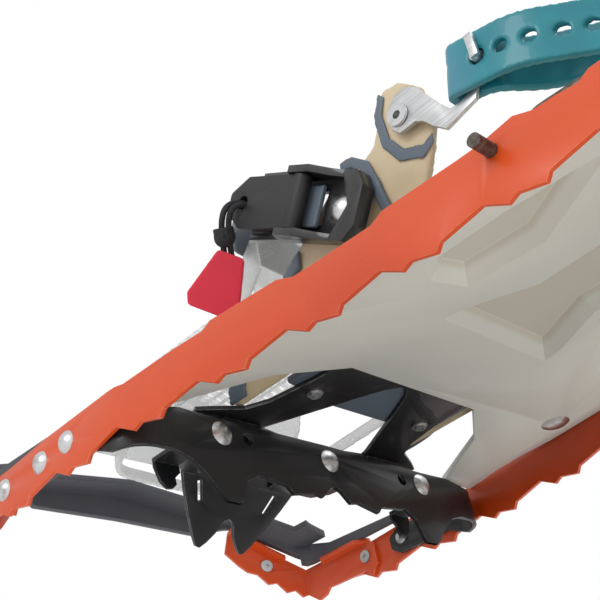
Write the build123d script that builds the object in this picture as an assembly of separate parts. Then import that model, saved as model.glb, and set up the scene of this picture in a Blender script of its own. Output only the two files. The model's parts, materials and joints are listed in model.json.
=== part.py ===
from build123d import *
import math
import os

os.makedirs("parts", exist_ok=True)

# A left snowshoe for the left foot, all sizes in millimetres.
# +Y runs to the toe, +Z up, +X to the wearer's right. While a piece is being shaped, zero is the
# middle rivet of the front crossmember; placed() then moves it to the bottom centre of the whole.

# Overall sizes
overall_length = 559.0
nose_reach = 136.0          # front crossmember to the tip of the nose bumper
rail_half_width = 100.9     # to the rails' outer faces beside the toe
claw_depth = 26.4           # crossmember claws below its rivets
tail_y = nose_reach - overall_length

# Clearances
gap = 0.4                   # beside a soft or moulded piece
running = 0.05              # radial, for pins and rods that turn
seat = 0.02                 # under a rivet head

# Sheet metal
rail_gauge = 1.8
crossmember_gauge = 1.8
plate_gauge = 1.8
hook_gauge = 1.6

# Side rails
tooth_pitch = 36.5
first_tooth_y = 68.4
tooth_shape = [(-7.3, -5.8), (0.0, -10.2), (3.4, -8.7), (12.1, -11.1), (14.1, -8.5)]
rail_front_y = 84.0
rail_end_y = tail_y + 36
tab_height = 11.9           # top of the tabs that hold the deck down
tab_reach = 21.0
tab_length = 28.0
tab_stations = [-57.0, -127.0, -198.0, -268.0, -338.0]
rail_rivet_places = [(30.5, 1.8), (46.6, 1.2), (70.3, 0.8)]

# Deck
deck_gauge = 2.5
deck_top = tab_height - rail_gauge - 0.1
deck_bottom = deck_top - deck_gauge
bulge_height = 6.0
opening_rear_y = -48.5
opening_half_width = 35.0

# Front crossmember, hinge and rivets
crossmember_rivet_x = 56.0
spare_hole_x = 43.4
spare_hole_r = 2.6
rivet_r = 1.9
axle_r = 2.5
axle_y = 6.2
axle_z = 5.0
axle_half_length = 74.0
clamp_wall = 1.4
knuckle_wall = 1.8
crossmember_tab_y = 54.0
rear_crossmember_y = tail_y + 118

# Binding
plate_bottom = 10.7
sole_gauge = 3.0
eyelet_x = 30.0
eyelet_y = -25.4
eyelet_r = 3.1
crampon_rivet_x = 20.0
crampon_rivet_y = 20.0
wing_gauge = 3.0
wing_foot_x = 42.0
rim_height = 0.8
lean_allowance = 1.4            # a level rivet's grip through the leaning wing
hook_rivet = (-115.0, 58.3)     # y and z of the heel strap's pivots
hook_rivet_r = 2.6
buckle_rivet = (-83.5, 41.5)
buckle_tilt = 33.0
buckle_x = 65.6                 # the buckle's seat on the left wing
buckle_half_width = 12.4
cheek_gauge = 2.5
ladder_width = 15.0
ladder_gauge = 2.2
lever_length = 34.0             # from its pin to its tip
lever_gauge = 3.4
lever_pin_r = 1.5
lever_pin_ahead = 14.0          # lever pin, ahead of the buckle rivet
lever_pin_out = 8.8             # lever pin, outward from the buckle's seat
cord_r = 1.1

# Heel strap
strap_gauge = 3.0
strap_width = 19.0
strap_tilt = 13.5
strap_bend = (-137.5, 57.5)     # y and z of the strap's middle where it turns round the hook
strap_hole_r = 2.3
# y of each hole, and how far in from the left its cut goes, to leave the inner layer whole
strap_holes = [(-157.0, -63.0), (-165.6, -59.0), (-173.9, -55.0), (-181.4, -51.0)]
post_spot = (-149.0, 54.9)

# Heel lifter
lifter_y = -151.0
lifter_z = 7.8
lifter_wire_r = 2.2
lifter_reach = 30.0             # hinge to crossbar, folded back on the deck
lifter_rest_z = 20.6
lifter_bend_x = 76.0
sleeve_r = 4.0
lifter_stick_out = 8.0


def placed(shape):
    return Pos(0, overall_length / 2 - nose_reach, claw_depth) * shape


def save(shape, node):
    export_step(placed(shape), f"parts/{node}.step")


def both_sides(right_shape, node):
    save(right_shape, f"{node}_right")
    save(mirror(right_shape, about=Plane.YZ), f"{node}_left")


def mirrored_pair(right_shape):
    return Compound(children=[right_shape, mirror(right_shape, about=Plane.YZ)])


def side_sheet(points, x_start, depth):
    # An outline of (y, z) points, extruded along +X from x_start
    face = make_face(Polyline(*points, close=True))
    return extrude(Plane.YZ.offset(x_start) * face, amount=depth)


def front_sheet(points, y_start, depth):
    # An outline of (x, z) points, extruded along -Y from y_start
    face = make_face(Polyline(*points, close=True))
    return extrude(Plane.XZ.offset(-y_start) * face, amount=depth)


def plan_sheet(points, z_start, depth):
    face = make_face(Polyline(*points, close=True))
    return extrude(Pos(0, 0, z_start) * face, amount=depth)


def plan_band(path, thickness, z_low, z_high, side):
    edge = path.offset_2d(thickness, kind=Kind.ARC, side=side, closed=True)
    return extrude(Pos(0, 0, z_low) * make_face(edge.edges()), amount=z_high - z_low)


def rod_x(x_start, x_end, y, z, radius):
    return Pos(x_start, y, z) * Rot(0, 90, 0) * Cylinder(radius, x_end - x_start, align=(
        Align.CENTER, Align.CENTER, Align.MIN))


def rod_y(y_start, y_end, x, z, radius):
    return Pos(x, y_start, z) * Rot(-90, 0, 0) * Cylinder(radius, y_end - y_start, align=(
        Align.CENTER, Align.CENTER, Align.MIN))


def rod_z(z_start, z_end, x, y, radius):
    return Pos(x, y, z_start) * Cylinder(radius, z_end - z_start, align=(
        Align.CENTER, Align.CENTER, Align.MIN))


def dome(radius, height):
    # A rivet head on the XY plane, bulging along +Z
    ball_r = (radius ** 2 + height ** 2) / (2 * height)
    ball = Pos(0, 0, height - ball_r) * Sphere(ball_r)
    return ball & Pos(0, 0, height / 2) * Box(4 * radius, 4 * radius, height)


def rivet(shank_r, grip, head_r, head_height, tail_r):
    # Head on the XY plane bulging to +Z, shank down through the grip, hollow rolled tail below
    shank = Pos(0, 0, -grip / 2) * Cylinder(shank_r, grip)
    tail = Pos(0, 0, -grip) * Cylinder(tail_r, 0.9, align=(Align.CENTER, Align.CENTER, Align.MAX))
    bore = Pos(0, 0, -grip - 1) * Cylinder(shank_r * 0.55, 2.4)
    return (Pos(0, 0, seat) * dome(head_r, head_height) + Pos(0, 0, seat / 2) * Cylinder(
        shank_r, seat) + shank + tail) - bore


# Side rails ---------------------------------------------------------------------------------------

def rail_line():
    w = rail_half_width
    points = [(w, rail_front_y), (w, 4), (w - 10.3, -82), (w - 14, -140), (w - 17.8, tail_y + 150),
              (w - 27, tail_y + 84), (w - 45, rail_end_y)]
    return FilletPolyline(*points, radius=40)


def tooth_row(y_front, y_back):
    points = []
    tooth = 0
    while first_tooth_y - (tooth + 1) * tooth_pitch > y_back:
        tip = first_tooth_y - tooth * tooth_pitch
        points += [(tip - s, z) for s, z in tooth_shape if tip - s < y_front]
        tooth += 1
    return points


def rail_outline():
    bottom = [(rail_front_y, -4.5)] + tooth_row(rail_front_y, rail_end_y + 8) + [(rail_end_y, -3.5)]
    top = [(rail_end_y, 4.0), (rail_end_y + 10, 9.8)]
    half = tab_length / 2
    for station in sorted(tab_stations):
        top += [(station - half - 6, 9.6), (station - half, tab_height)]
        top += [(station + half, tab_height), (station + half + 4, 9.9)]
        if station == tab_stations[1]:
            top[-4:] = [(lifter_y - 22, 10.9), (lifter_y - 15, 11.2), (lifter_y - 9, 13.6),
                        (lifter_y + 3, 12.0), (station + half, tab_height), (station + half + 5, 9.6)]
    top += [(-26, 9.7), (-2.5, 8.2), (1.5, 8.9), (43.5, 8.7), (72, 7.0), (rail_front_y, 5.5)]
    return bottom + top


def side_rail():
    line = rail_line()
    wall = plan_band(line, rail_gauge, -14, 16, Side.RIGHT)
    rail = wall & side_sheet(rail_outline(), 0, rail_half_width + 5)
    flange = plan_band(line, tab_reach, tab_height - rail_gauge, tab_height, Side.RIGHT)
    for station in tab_stations:
        rail += flange & Pos(0, station, tab_height) * Box(400, tab_length, 10)
        rail -= rod_z(0, 20, deck_rivet_x(station), station, rivet_r)
    for y, z in rail_rivet_places:
        rail -= rod_x(60, 120, y, z, rivet_r)
    for y in rear_rivet_y:
        rail -= side_hole(y, 0)
    rail -= rod_x(60, 120, lifter_y, lifter_z, lifter_wire_r + running)
    return rail


def rail_x(y):
    # Outer face of the right rail at y
    wall = plan_band(rail_line(), rail_gauge, -1, 1, Side.RIGHT)
    strip = wall & Pos(0, y, 0) * Box(400, 0.2, 1)
    return strip.bounding_box().max.X


def deck_rivet_x(y):
    return rail_faces[y] - rail_gauge - tab_reach * 0.55


rail_faces = {station: rail_x(station) for station in tab_stations}

# Nose rails and bumper ----------------------------------------------------------------------------

nose_lap_y = 64.0
nose_bend = (rail_half_width - 1.9, 112.0)
nose_end = (62.0, 130.5)
nose_rise = 22.5
nose_top = 9.0
nose_flange = 7.0
lap_face = rail_half_width - rail_gauge - 0.05


def nose_tip_plane():
    run = math.hypot(nose_bend[0] - nose_end[0], nose_end[1] - nose_bend[1])
    turn = Vector(nose_end[0] - nose_bend[0], nose_end[1] - nose_bend[1], 0)
    return Plane(origin=(nose_bend[0], nose_bend[1], 0), x_dir=turn, z_dir=turn.cross(Vector(0, 0, 1))), run


def nose_rail():
    side = [(nose_lap_y, -4.5), (66, -6.2), (first_tooth_y, -9.6), (72, -5.8), (92, -5.2), (97, -4.9),
            (100, -7.5), (104.9, -8.6), (nose_bend[1], -3.2), (nose_bend[1], nose_top),
            (nose_lap_y + 4, nose_top), (nose_lap_y, nose_top - 4)]
    rail = side_sheet(side, lap_face - rail_gauge, rail_gauge)
    plane, run = nose_tip_plane()
    # (along the tip, up) points of the part that climbs inward to the nose
    tip = [(0, -3.2), (4, -4.4), (7.5, -0.8), (12, -1.6), (16.5, 3.6), (21, 3.2), (26, 8.6),
           (31, 10.2), (35, 13.6), (run, 20.6), (run - 3, nose_top + nose_rise), (0, nose_top)]
    sheet = extrude(plane * make_face(Polyline(*tip, close=True)), amount=-rail_gauge)
    rail += sheet
    rail += plan_sheet([(lap_face - rail_gauge, nose_lap_y + 3), (lap_face, nose_lap_y + 3), (lap_face, 98),
                        (lap_face - rail_gauge, 98), (lap_face - nose_flange, 95),
                        (lap_face - nose_flange, nose_lap_y + 8)], nose_top - rail_gauge, rail_gauge)
    slope = nose_rise / run
    ledge = [(12, nose_top + 12 * slope), (run - 3, nose_top + nose_rise),
             (run - 3, nose_top + nose_rise - rail_gauge), (12, nose_top + 12 * slope - rail_gauge)]
    rail += extrude(plane * make_face(Polyline(*ledge, close=True)), amount=-nose_flange)
    corner = rod_z(-20, 40, nose_bend[0] - rail_gauge / 2, nose_bend[1], rail_gauge / 2)
    rail += corner & Pos(0, 0, (nose_top - 3.2) / 2) * Box(400, 400, nose_top + 3.2)
    for y, z in rail_rivet_places[2:]:
        rail -= rod_x(60, 120, y, z, rivet_r)
    rail -= plane * Pos(21, 12.3, 0) * Cylinder(rivet_r, 20)
    return rail


bumper_wall = 3.2


def bumper_line(inset):
    points = [(lap_face - 2.2 - inset, 46), (96.5 - inset, 107 - inset * 0.6),
              (54, nose_reach - 3.5 - inset), (0, nose_reach - inset)]
    right = FilletPolyline(*points, radius=12)
    left = FilletPolyline(*[(-x, y) for x, y in reversed(points)], radius=12)
    return Wire(right.edges() + left.edges())


def nose_bumper():
    # Skirt and shelf heights seen from the front, as (x, z)
    crown = [(0, 46), (44, 40), (62, 36.8), (84, 24), (97, 20.5), (110, 18)]
    foot = nose_top + nose_rise
    skirt_foot = [(110, nose_top + 0.3), (99.1, nose_top + 0.3), (64.4, foot + 0.4), (60, foot + 0.4),
                  (50, foot - 1.5), (47, 28.5), (0, 31)]
    right = crown + skirt_foot
    outline = right + [(-x, z) for x, z in reversed(right[1:-1])]
    front = front_sheet(outline, 140, 34)
    arm = side_sheet([(106.5, nose_top + 0.1), (106.5, 20.5), (88, 14.6), (47, 12.4), (47, nose_top + 0.1)],
                     -110, 220)
    skirt = plan_band(bumper_line(0), bumper_wall, 5, 50, Side.LEFT)
    bumper = (skirt & front) + (skirt & arm)
    under = [(x, z - bumper_wall) for x, z in crown]
    shelf_outline = crown + list(reversed(under)) + [(-x, z) for x, z in under[1:]]
    shelf_outline += [(-x, z) for x, z in reversed(crown[1:])]
    shelf = plan_band(bumper_line(bumper_wall - 0.2), 12.0, 5, 50, Side.LEFT)
    bumper += shelf & front_sheet(shelf_outline, 140, 50)
    return bumper


# Deck ---------------------------------------------------------------------------------------------

def deck_outline():
    # Right half, from the front of the arm rearward along the rail, then round the tail
    edge = []
    for y, slack in [(4, gap), (-14, 2.6), (-30, 2.4), (-46, gap), (-72, gap), (-90, gap), (-127, gap),
                     (-160, gap), (-200, gap), (-268, gap), (-338, gap), (rail_end_y + 4, gap)]:
        edge.append((rail_x(y) - rail_gauge - slack, y))
    tail = [(rail_x(rail_end_y + 4) - 1.5, rail_end_y - 8), (30, tail_y + 2), (0, tail_y)]
    return edge + tail


def deck():
    arm_inner = rail_half_width - 21.5
    opening = [(arm_inner, 4), (57.5, -31.5), (opening_half_width, opening_rear_y), (0, opening_rear_y)]
    right = deck_outline() + list(reversed(opening))
    half = plan_sheet(right, deck_bottom, deck_gauge)
    # Hollow moulded bulges: outer shape on top, the same shape a wall smaller underneath
    centre = [(30, -87), (28, -96), (17, -118), (20, -190), (24, -300), (15, tail_y + 45), (0, tail_y + 45),
              (0, -87)]
    side = [(52, -100), (deck_rivet_x(-127) - 14, -106), (deck_rivet_x(-127) - 14, -136), (57, -172),
            (36, -134), (38, -104)]
    rear = [(56, -186), (56, -262), (44, -318), (42, -350), (34, -343), (32, -206)]
    for outline in (centre, side, rear):
        half += bulge(outline, 0)
    for outline in (centre, side, rear):
        half -= bulge(outline, deck_gauge)
    # Notch beside the rail for the heel lifter's wire
    half -= Pos(lifter_bend_x - 4.5, lifter_y - 17, 0) * Box(60, 25, 60, align=(Align.MIN, Align.MIN, Align.CENTER))
    whole = half + mirror(half, about=Plane.YZ)
    for station in tab_stations:
        for way in (-1, 1):
            whole -= rod_z(0, 20, way * deck_rivet_x(station), station, rivet_r)
    return whole


def bulge(outline, wall):
    # A drafted boss on the deck; one that reaches the middle is drafted whole and then halved
    points = outline
    if outline[-1][0] == 0:
        points = outline[:-1] + [(-x, y) for x, y in reversed(outline[:-1]) if x > 0]
    face = make_face(Polyline(*reversed(points), close=True))
    boss = extrude(Pos(0, 0, deck_top - wall - 0.01) * face, amount=bulge_height + 0.01, taper=40)
    if outline[-1][0] == 0:
        boss &= Box(400, 2000, 100, align=(Align.MIN, Align.CENTER, Align.CENTER))
    return boss


# Crossmembers -------------------------------------------------------------------------------------

def claw_outline():
    top = [(110, 4.0), (84, 4.5), (75, 6.2), (58, 5.8), (0, 6.6)]
    bottom = [(0, -11.0), (3.2, -12.3), (7.7, -16.6), (12.2, -15.7), (23.5, -18.1), (26.2, -15.2),
              (40.5, -13.6), (46.5, -17.0), (49.5, -24.4), (51.0, -claw_depth), (57.6, -claw_depth),
              (59.8, -24.6), (66, -17.5), (72, -13), (79, -11), (110, -11)]
    right = top[:-1] + [(0, 6.6)]
    left = [(-x, z) for x, z in reversed(right[:-1])]
    return right + left + [(-x, z) for x, z in reversed(bottom[1:])] + bottom


def crossmember_band(face_x):
    end = face_x - crossmember_gauge / 2
    path = FilletPolyline((end, crossmember_tab_y + 2), (end, 0), (-end, 0), (-end, crossmember_tab_y + 2),
                          radius=13)
    return extrude(Pos(0, 0, -40) * trace(path, crossmember_gauge), amount=60)


def tab_profile():
    tip = crossmember_tab_y
    return [(-3, 4.0), (12, 4.0), (22, 6.6), (tip - 5, 6.6), (tip, 3.4), (tip, -2.2), (tip - 5, -5.6),
            (20, -6.0), (10, -11), (-3, -11)]


def front_crossmember():
    band = crossmember_band(lap_face)
    face = band & front_sheet(claw_outline(), 4, 8) & Box(2 * (lap_face - 14), 400, 200)
    ends = band & side_sheet(tab_profile(), -120, 240)
    ends -= Box(2 * (lap_face - 14), 400, 200)
    plate = face + ends
    plate -= mirrored_pair(rod_y(-5, 5, crossmember_rivet_x, 0, rivet_r))
    plate -= rod_y(-5, 5, 0, 0, rivet_r)
    plate -= mirrored_pair(rod_y(-5, 5, spare_hole_x, 0, spare_hole_r))
    for y, z in rail_rivet_places[:2]:
        plate -= mirrored_pair(rod_x(60, 120, y, z, rivet_r))
    return plate


def rear_crossmember():
    # Its turned ends follow the rails' taper
    y = rear_crossmember_y
    setback = rail_gauge + 0.1 + crossmember_gauge / 2
    ahead = rail_x(y + 35) - setback
    corner = ahead - (rail_x(y + 35) - rail_x(y + 12)) * 35 / 23
    path = FilletPolyline((ahead, y + 35), (corner, y), (-corner, y), (-ahead, y + 35), radius=9)
    band = extrude(Pos(0, 0, -40) * trace(path, crossmember_gauge), amount=60)
    top = deck_bottom - 0.3
    middle = [(0, -9), (8, -14), (14, -9), (27, -10), (34, -21), (37, -claw_depth), (43, -claw_depth),
              (52, -12), (60, -8), (110, -7)]
    crown = [(110, 4.5), (60, 4.5), (56, top)]
    right = crown + [(-x, z) for x, z in reversed(crown)]
    left = [(-x, z) for x, z in reversed(middle[1:])]
    plate = band & front_sheet(right + left + middle, y + 40, 60)
    for y_rivet in rear_rivet_y:
        plate -= mirrored_pair(side_hole(y_rivet, 0))
    return plate


rear_rivet_y = [rear_crossmember_y + 17, rear_crossmember_y + 28]


# Rivets of the frame ------------------------------------------------------------------------------

def rail_seat(y, z):
    # On the right rail's outer face, square to it
    turn = math.degrees(math.atan2(rail_x(y + 5) - rail_x(y - 5), 10))
    return Pos(rail_x(y), y, z) * Rot(0, 90, 0) * Rot(turn, 0, 0)


def side_hole(y, z):
    return rail_seat(y, z) * Cylinder(rivet_r, 24)


def side_rivets(places, grip, head_r):
    # Heads outside the rails, hollow tails inside
    group = []
    for y, z in places:
        right = rail_seat(y, z) * rivet(rivet_r - seat, grip, head_r, 2.2, 3.0)
        group += [right, mirror(right, about=Plane.YZ)]
    return Compound(children=group)


def deck_rivets():
    group = []
    for station in tab_stations:
        for way in (-1, 1):
            one = Pos(way * deck_rivet_x(station), station, deck_bottom) * Rot(180, 0, 0)
            group.append(one * rivet(rivet_r - seat, deck_gauge + rail_gauge + 0.1, 6.0, 1.8, 3.2))
    return Compound(children=group)


def nose_rivets():
    plane, run = nose_tip_plane()
    right = plane * Pos(21, 12.3, 0) * rivet(rivet_r - seat, rail_gauge, 3.6, 1.6, 3.0)
    return mirrored_pair(right)


def crossmember_rivets():
    group = []
    for x in (-crossmember_rivet_x, 0, crossmember_rivet_x):
        one = Pos(x, -crossmember_gauge / 2, 0) * Rot(90, 0, 0)
        group.append(one * rivet(rivet_r - seat, crossmember_gauge + clamp_wall, 4.7, 2.4, 2.05))
    return Compound(children=group)


# Hinge: axle, its clamps and the hook brackets ----------------------------------------------------

clamp_face = crossmember_gauge / 2
clamp_r = axle_r + clamp_wall


def axle():
    return rod_x(-axle_half_length, axle_half_length, axle_y, axle_z, axle_r - seat)


def axle_clamp(x_low, x_high):
    back = [(clamp_face, -5.0), (clamp_face + clamp_wall, -5.0), (clamp_face + clamp_wall, axle_z),
            (clamp_face, axle_z)]
    clamp = side_sheet(back, x_low, x_high - x_low)
    clamp += rod_x(x_low, x_high, axle_y, axle_z, clamp_r)
    neck = [(clamp_face, axle_z - 2.8), (axle_y, axle_z - 2.8), (axle_y, axle_z + 2.8), (clamp_face, axle_z)]
    clamp += side_sheet(neck, x_low, x_high - x_low)
    clamp -= rod_x(x_low - 1, x_high + 1, axle_y, axle_z, axle_r)
    return clamp


def centre_clamp():
    return axle_clamp(-8, 8) - rod_y(-5, clamp_face + clamp_wall + 0.5, 0, 0, rivet_r)


def hook_bracket():
    # Clamp, shelf below the axle and a hooked side claw, folded from one sheet
    low, high = 50.5, 70.5
    bracket = axle_clamp(low, high)
    shelf = [(clamp_face, -3.9), (claw_face, -3.9), (claw_face, -2.4), (clamp_face, -2.4)]
    bracket += side_sheet(shelf, 59.5, high - 59.5)
    hook = [(59.5, -2.4), (58.8, -6.5), (61.5, -9.0), (61.2, -11.6), (63.0, -13.4), (65.6, -13.8),
            (68.4, -11.6), (70.5, -6.0), (70.5, -2.4)]
    bracket += front_sheet(hook, claw_face + clamp_wall, clamp_wall)
    bracket -= rod_y(-5, clamp_face + clamp_wall + 0.5, crossmember_rivet_x, 0, rivet_r)
    return bracket


claw_face = 20.5


# Binding plate and toe crampon --------------------------------------------------------------------

def knuckle(x_low, x_high):
    outer = rod_x(x_low, x_high, axle_y, axle_z, axle_r + running + knuckle_wall)
    web = Pos((x_low + x_high) / 2, axle_y, axle_z + 4) * Box(x_high - x_low, 4.6, 6)
    return outer + web


def binding_plate():
    right = [(6, 9.4), (29, 6), (28, 3), (11, -30), (6, -39), (1.5, -43.2), (0, -43.2), (0, -78),
             (30, -78), (34, -74), (35, -48), (37, -30), (40.5, -12), (45, -4), (56, 1.5), (62, 5),
             (60, 9), (50, 12), (44, 40), (38, 46), (12, 46), (9, 30), (0, 26), (0, 12), (6, 12)]
    half = plan_sheet(right, plate_bottom, plate_gauge)
    plate = half + mirror(half, about=Plane.YZ)
    plate += mirrored_pair(knuckle(30, 48.5))
    plate -= rod_x(-120, 120, axle_y, axle_z, axle_r + running)
    plate -= mirrored_pair(rod_z(0, 30, eyelet_x, eyelet_y, eyelet_r - 0.9))
    plate -= mirrored_pair(rod_z(0, 30, crampon_rivet_x, crampon_rivet_y, rivet_r))
    return plate


plate_top = plate_bottom + plate_gauge


def toe_crampon():
    bend_y = 51.0
    flat = [(34, 14), (36, 30), (31, bend_y), (-31, bend_y), (-36, 30), (-34, 14), (-12, 14), (-8, 30),
            (8, 30), (12, 14)]
    sheet = plan_sheet(flat, plate_top, plate_gauge)
    down = Plane(origin=(0, bend_y, plate_top + plate_gauge), x_dir=(1, 0, 0), z_dir=(0, -0.788, -0.616))
    # (across, along the slope) of the right claw, from its root to the notch between the two
    claw = [(31, 0), (30.6, -1.6), (27, -8.5), (21, -18.5), (16, -26.0), (13, -29.6), (11, -29.9),
            (8.2, -27.2), (5, -23), (3.6, -19.0), (2.2, -17.0), (0, -16.2)]
    outline = claw + [(-x, s) for x, s in reversed(claw[:-1])]
    sheet += extrude(down * make_face(Polyline(*outline, close=True)), amount=plate_gauge)
    sheet -= mirrored_pair(rod_z(0, 30, crampon_rivet_x, crampon_rivet_y, rivet_r))
    slot = down * Pos(19.5, -7.0, 0) * Rot(0, 0, -22) * Box(2.2, 9, 12)
    return sheet - slot - mirror(slot, about=Plane.YZ)


def eyelets():
    ring = Pos(eyelet_x, eyelet_y, plate_bottom - seat) * (
        Pos(0, 0, -0.35) * Cylinder(eyelet_r, 0.7) + Cylinder(eyelet_r - 0.95, plate_gauge * 2 + sole_gauge))
    ring -= rod_z(-10, 40, eyelet_x, eyelet_y, eyelet_r - 1.6)
    return mirrored_pair(ring & Pos(0, 0, plate_bottom + 1.0) * Box(400, 400, 5.6))


def crampon_rivets():
    one = Pos(crampon_rivet_x, crampon_rivet_y, plate_bottom) * Rot(180, 0, 0)
    return mirrored_pair(one * rivet(rivet_r - seat, 2 * plate_gauge, 3.6, 1.4, 2.8))


# Harness: sole, wings, ribs -----------------------------------------------------------------------

def harness_sole():
    front, back = -17.7, -76.0
    half = [(0, front), (18, front), (24, -21), (wing_foot_x - gap, -23), (wing_foot_x - gap, back + 14),
            (36, back), (0, back)]
    sole = plan_sheet(half, plate_top, sole_gauge)
    sole += mirror(sole, about=Plane.YZ)
    sole -= mirrored_pair(rod_z(0, 40, eyelet_x, eyelet_y, eyelet_r - 0.9))
    for y in (-36, -50, -64):
        sole -= Pos(0, y, plate_top + sole_gauge) * Box(52, 3, 1.6)
    return sole


wing_side = [(3, 12.6), (-3, 15.8), (-10, 20.5), (-26, 30), (-47, 37.5), (-64, 45), (-80, 56), (-90, 60.5),
             (-95, 56), (-100, 58), (-103.4, 64), (-106, 71), (-110, 75), (-117, 73.5), (-124, 66),
             (-125, 52), (-121, 43), (-114, 35.5), (-109, 30.5), (-96, 21.5), (-80, 15), (-66, 12.6)]


def wing_band(offset, thickness):
    # Seen from the front the wing stands on the sole's edge, leans out and then stands up
    points = [(wing_foot_x + offset, plate_top + 0.05), (wing_foot_x + 8 + offset, plate_top + 5),
              (buckle_x - 5.5 + offset, 42), (buckle_x - 3 + offset, 80)]
    path = FilletPolyline(*points, radius=14)
    edge = path.offset_2d(thickness, kind=Kind.ARC, side=Side.LEFT, closed=True)
    return extrude(Plane.XZ.offset(-20) * make_face(edge.edges()), amount=160)


def wing(way):
    sheet = wing_band(wing_gauge, wing_gauge) & side_sheet(wing_side, 0, 120)
    sheet -= rod_x(0, 120, *hook_rivet, hook_rivet_r)
    sheet -= rod_x(0, 120, *buckle_rivet, rivet_r)
    return sheet if way > 0 else mirror(sheet, about=Plane.YZ)


def wing_face(y, z):
    # Outer face of the right wing beside (y, z)
    spot = wing_band(wing_gauge, wing_gauge) & Pos(0, y, z) * Box(400, 0.4, 0.4)
    return spot.bounding_box().max.X


def wing_ribs():
    # Raised rims: a low horseshoe under each hook plate and a bow behind each buckle place
    low_skin = wing_band(wing_gauge + rim_height + 0.15, rim_height)
    skin = wing_band(wing_gauge + 2.35, 2.2)
    shoe = side_sheet([(-108.5, 74.4), (-104.0, 67), (-103.4, 55), (-108.2, 45.4), (-117, 40.8), (-122.6, 43.4),
                       (-123.4, 47.2), (-118.6, 45.6), (-111.6, 48.8), (-107.6, 56), (-107.8, 66),
                       (-110.6, 71.4)], 0, 120)
    bow = side_sheet([(-86, 60.4), (-91.5, 59.8), (-97.4, 53.3), (-99.6, 43.2), (-98.9, 26), (-94.6, 24),
                      (-95.3, 42.1), (-93.2, 51), (-90, 55.4), (-85, 56.8)], 0, buckle_x - 0.2)
    lower = side_sheet([(1, 13.4), (-24, 28.4), (-48, 36.2), (-60, 41), (-57, 35.8), (-44, 31), (-24, 22.6),
                        (-8, 13.4)], 0, 120)
    right = (low_skin & shoe) + (skin & bow) + (skin & lower)
    right -= wing_band(wing_gauge + 0.25, wing_gauge)
    return mirrored_pair(right)


def wing_rivets():
    # Shouldered rivets that the hook plate and the anchor plate turn on
    y, z = hook_rivet
    face = wing_face(y, z)
    length = plate_x() + hook_gauge + 0.2 - face + wing_gauge + 0.6
    base = Pos(face - wing_gauge - 0.6, y, z) * Rot(0, 90, 0)
    one = base * (Pos(0, 0, -0.6) * Cylinder(4.4, 1.2) + Pos(0, 0, length / 2) * Cylinder(
        hook_rivet_r - running, length) + Pos(0, 0, length + 0.5) * Cylinder(3.9, 1.0))
    one -= base * Pos(0, 0, length) * Cylinder(1.5, 6)
    return mirrored_pair(one)


# Toe hoop, forefoot wrap and ladder strap ---------------------------------------------------------

hoop_low = 28.8
hoop_high = 34.0


def toe_hoop():
    points = [(wing_foot_x + 1, -24), (47, 6), (50, 56), (34, 92), (0, 94)]
    right = FilletPolyline(*points, radius=16)
    left = FilletPolyline(*[(-x, y) for x, y in reversed(points)], radius=16)
    hoop = plan_band(Wire(right.edges() + left.edges()), 2.2, hoop_low, hoop_high, Side.LEFT)
    return hoop


wrap_gauge = 2.0


def wrap_arch(low):
    right = [(46.5, low), (46.5, 52), (35, 66), (0, 73)]
    points = right + [(-x, z) for x, z in reversed(right[:-1])]
    path = FilletPolyline(*points, radius=9)
    return path.offset_2d(wrap_gauge, kind=Kind.ARC, side=Side.LEFT, closed=True)


def forefoot_wrap():
    # Level over the toes, climbing rearward over the instep, its lower edge dropping to the hoop in front
    face = make_face(wrap_arch(hoop_high + 0.2).edges())
    fore = extrude(Plane.XZ.offset(-84) * face, amount=80)
    rise = extrude(Plane.XZ.offset(-4) * face, amount=40, dir=(0, -0.72, 0.69))
    wrap = fore + rise
    edge = [(100, 10), (100, hoop_high + 0.2), (62, hoop_high + 0.2), (48, 54), (-2, 54), (-16, 44), (-34, 52),
            (-60, 84), (-60, 10)]
    wrap -= side_sheet(edge, -100, 200)
    toe = make_face(Polyline((-46.5, hoop_high + 0.2), (-46.5, 52), (-35, 66), (0, 73), (35, 66), (46.5, 52),
                             (46.5, hoop_high + 0.2), close=True))
    wrap += extrude(Plane.XZ.offset(-84 - wrap_gauge) * toe, amount=wrap_gauge)
    return wrap


def ladder_strap():
    # Leaves the buckle forward and up, crosses the instep and comes down on the right wing
    lean = Plane(origin=(0, *buckle_rivet), x_dir=(1, 0, 0),
                 z_dir=(0, -math.sin(math.radians(buckle_tilt)), math.cos(math.radians(buckle_tilt))))
    outside = buckle_x + 3.0 + ladder_gauge
    anchor = anchor_face()
    points = [(-outside, 7), (-outside, 52), (-42, 86), (0, 95), (42, 86), (anchor, 52), (anchor, -6)]
    path = FilletPolyline(*points, radius=20)
    edge = path.offset_2d(ladder_gauge, kind=Kind.ARC, side=Side.RIGHT, closed=True)
    strap = extrude(lean * make_face(edge.edges()), amount=ladder_width / 2, both=True)
    return strap - rod_x(0, 120, *buckle_rivet, rivet_r)


def anchor_face():
    return wing_face(buckle_rivet[0], buckle_rivet[1] + 17) + 0.2 + ladder_gauge


def ladder_rivet():
    face = anchor_face()
    grip = face - wing_face(*buckle_rivet) + wing_gauge + lean_allowance
    return Pos(face, *buckle_rivet) * Rot(0, 90, 0) * rivet(rivet_r - seat, grip, 4.5, 2.0, 3.0)


# Ratchet buckle, in its own frame: x along the strap, z outward -----------------------------------

def buckle_frame_plane():
    turn = math.radians(buckle_tilt)
    return Plane(origin=(-buckle_x, *buckle_rivet), x_dir=(0, math.cos(turn), math.sin(turn)),
                 z_dir=(-1, 0, 0))


def rounded_sheet(points, radius, z_start, depth):
    path = FilletPolyline(*points, radius=radius, close=True)
    return extrude(Pos(0, 0, z_start) * make_face(path.edges()), amount=depth)


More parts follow.
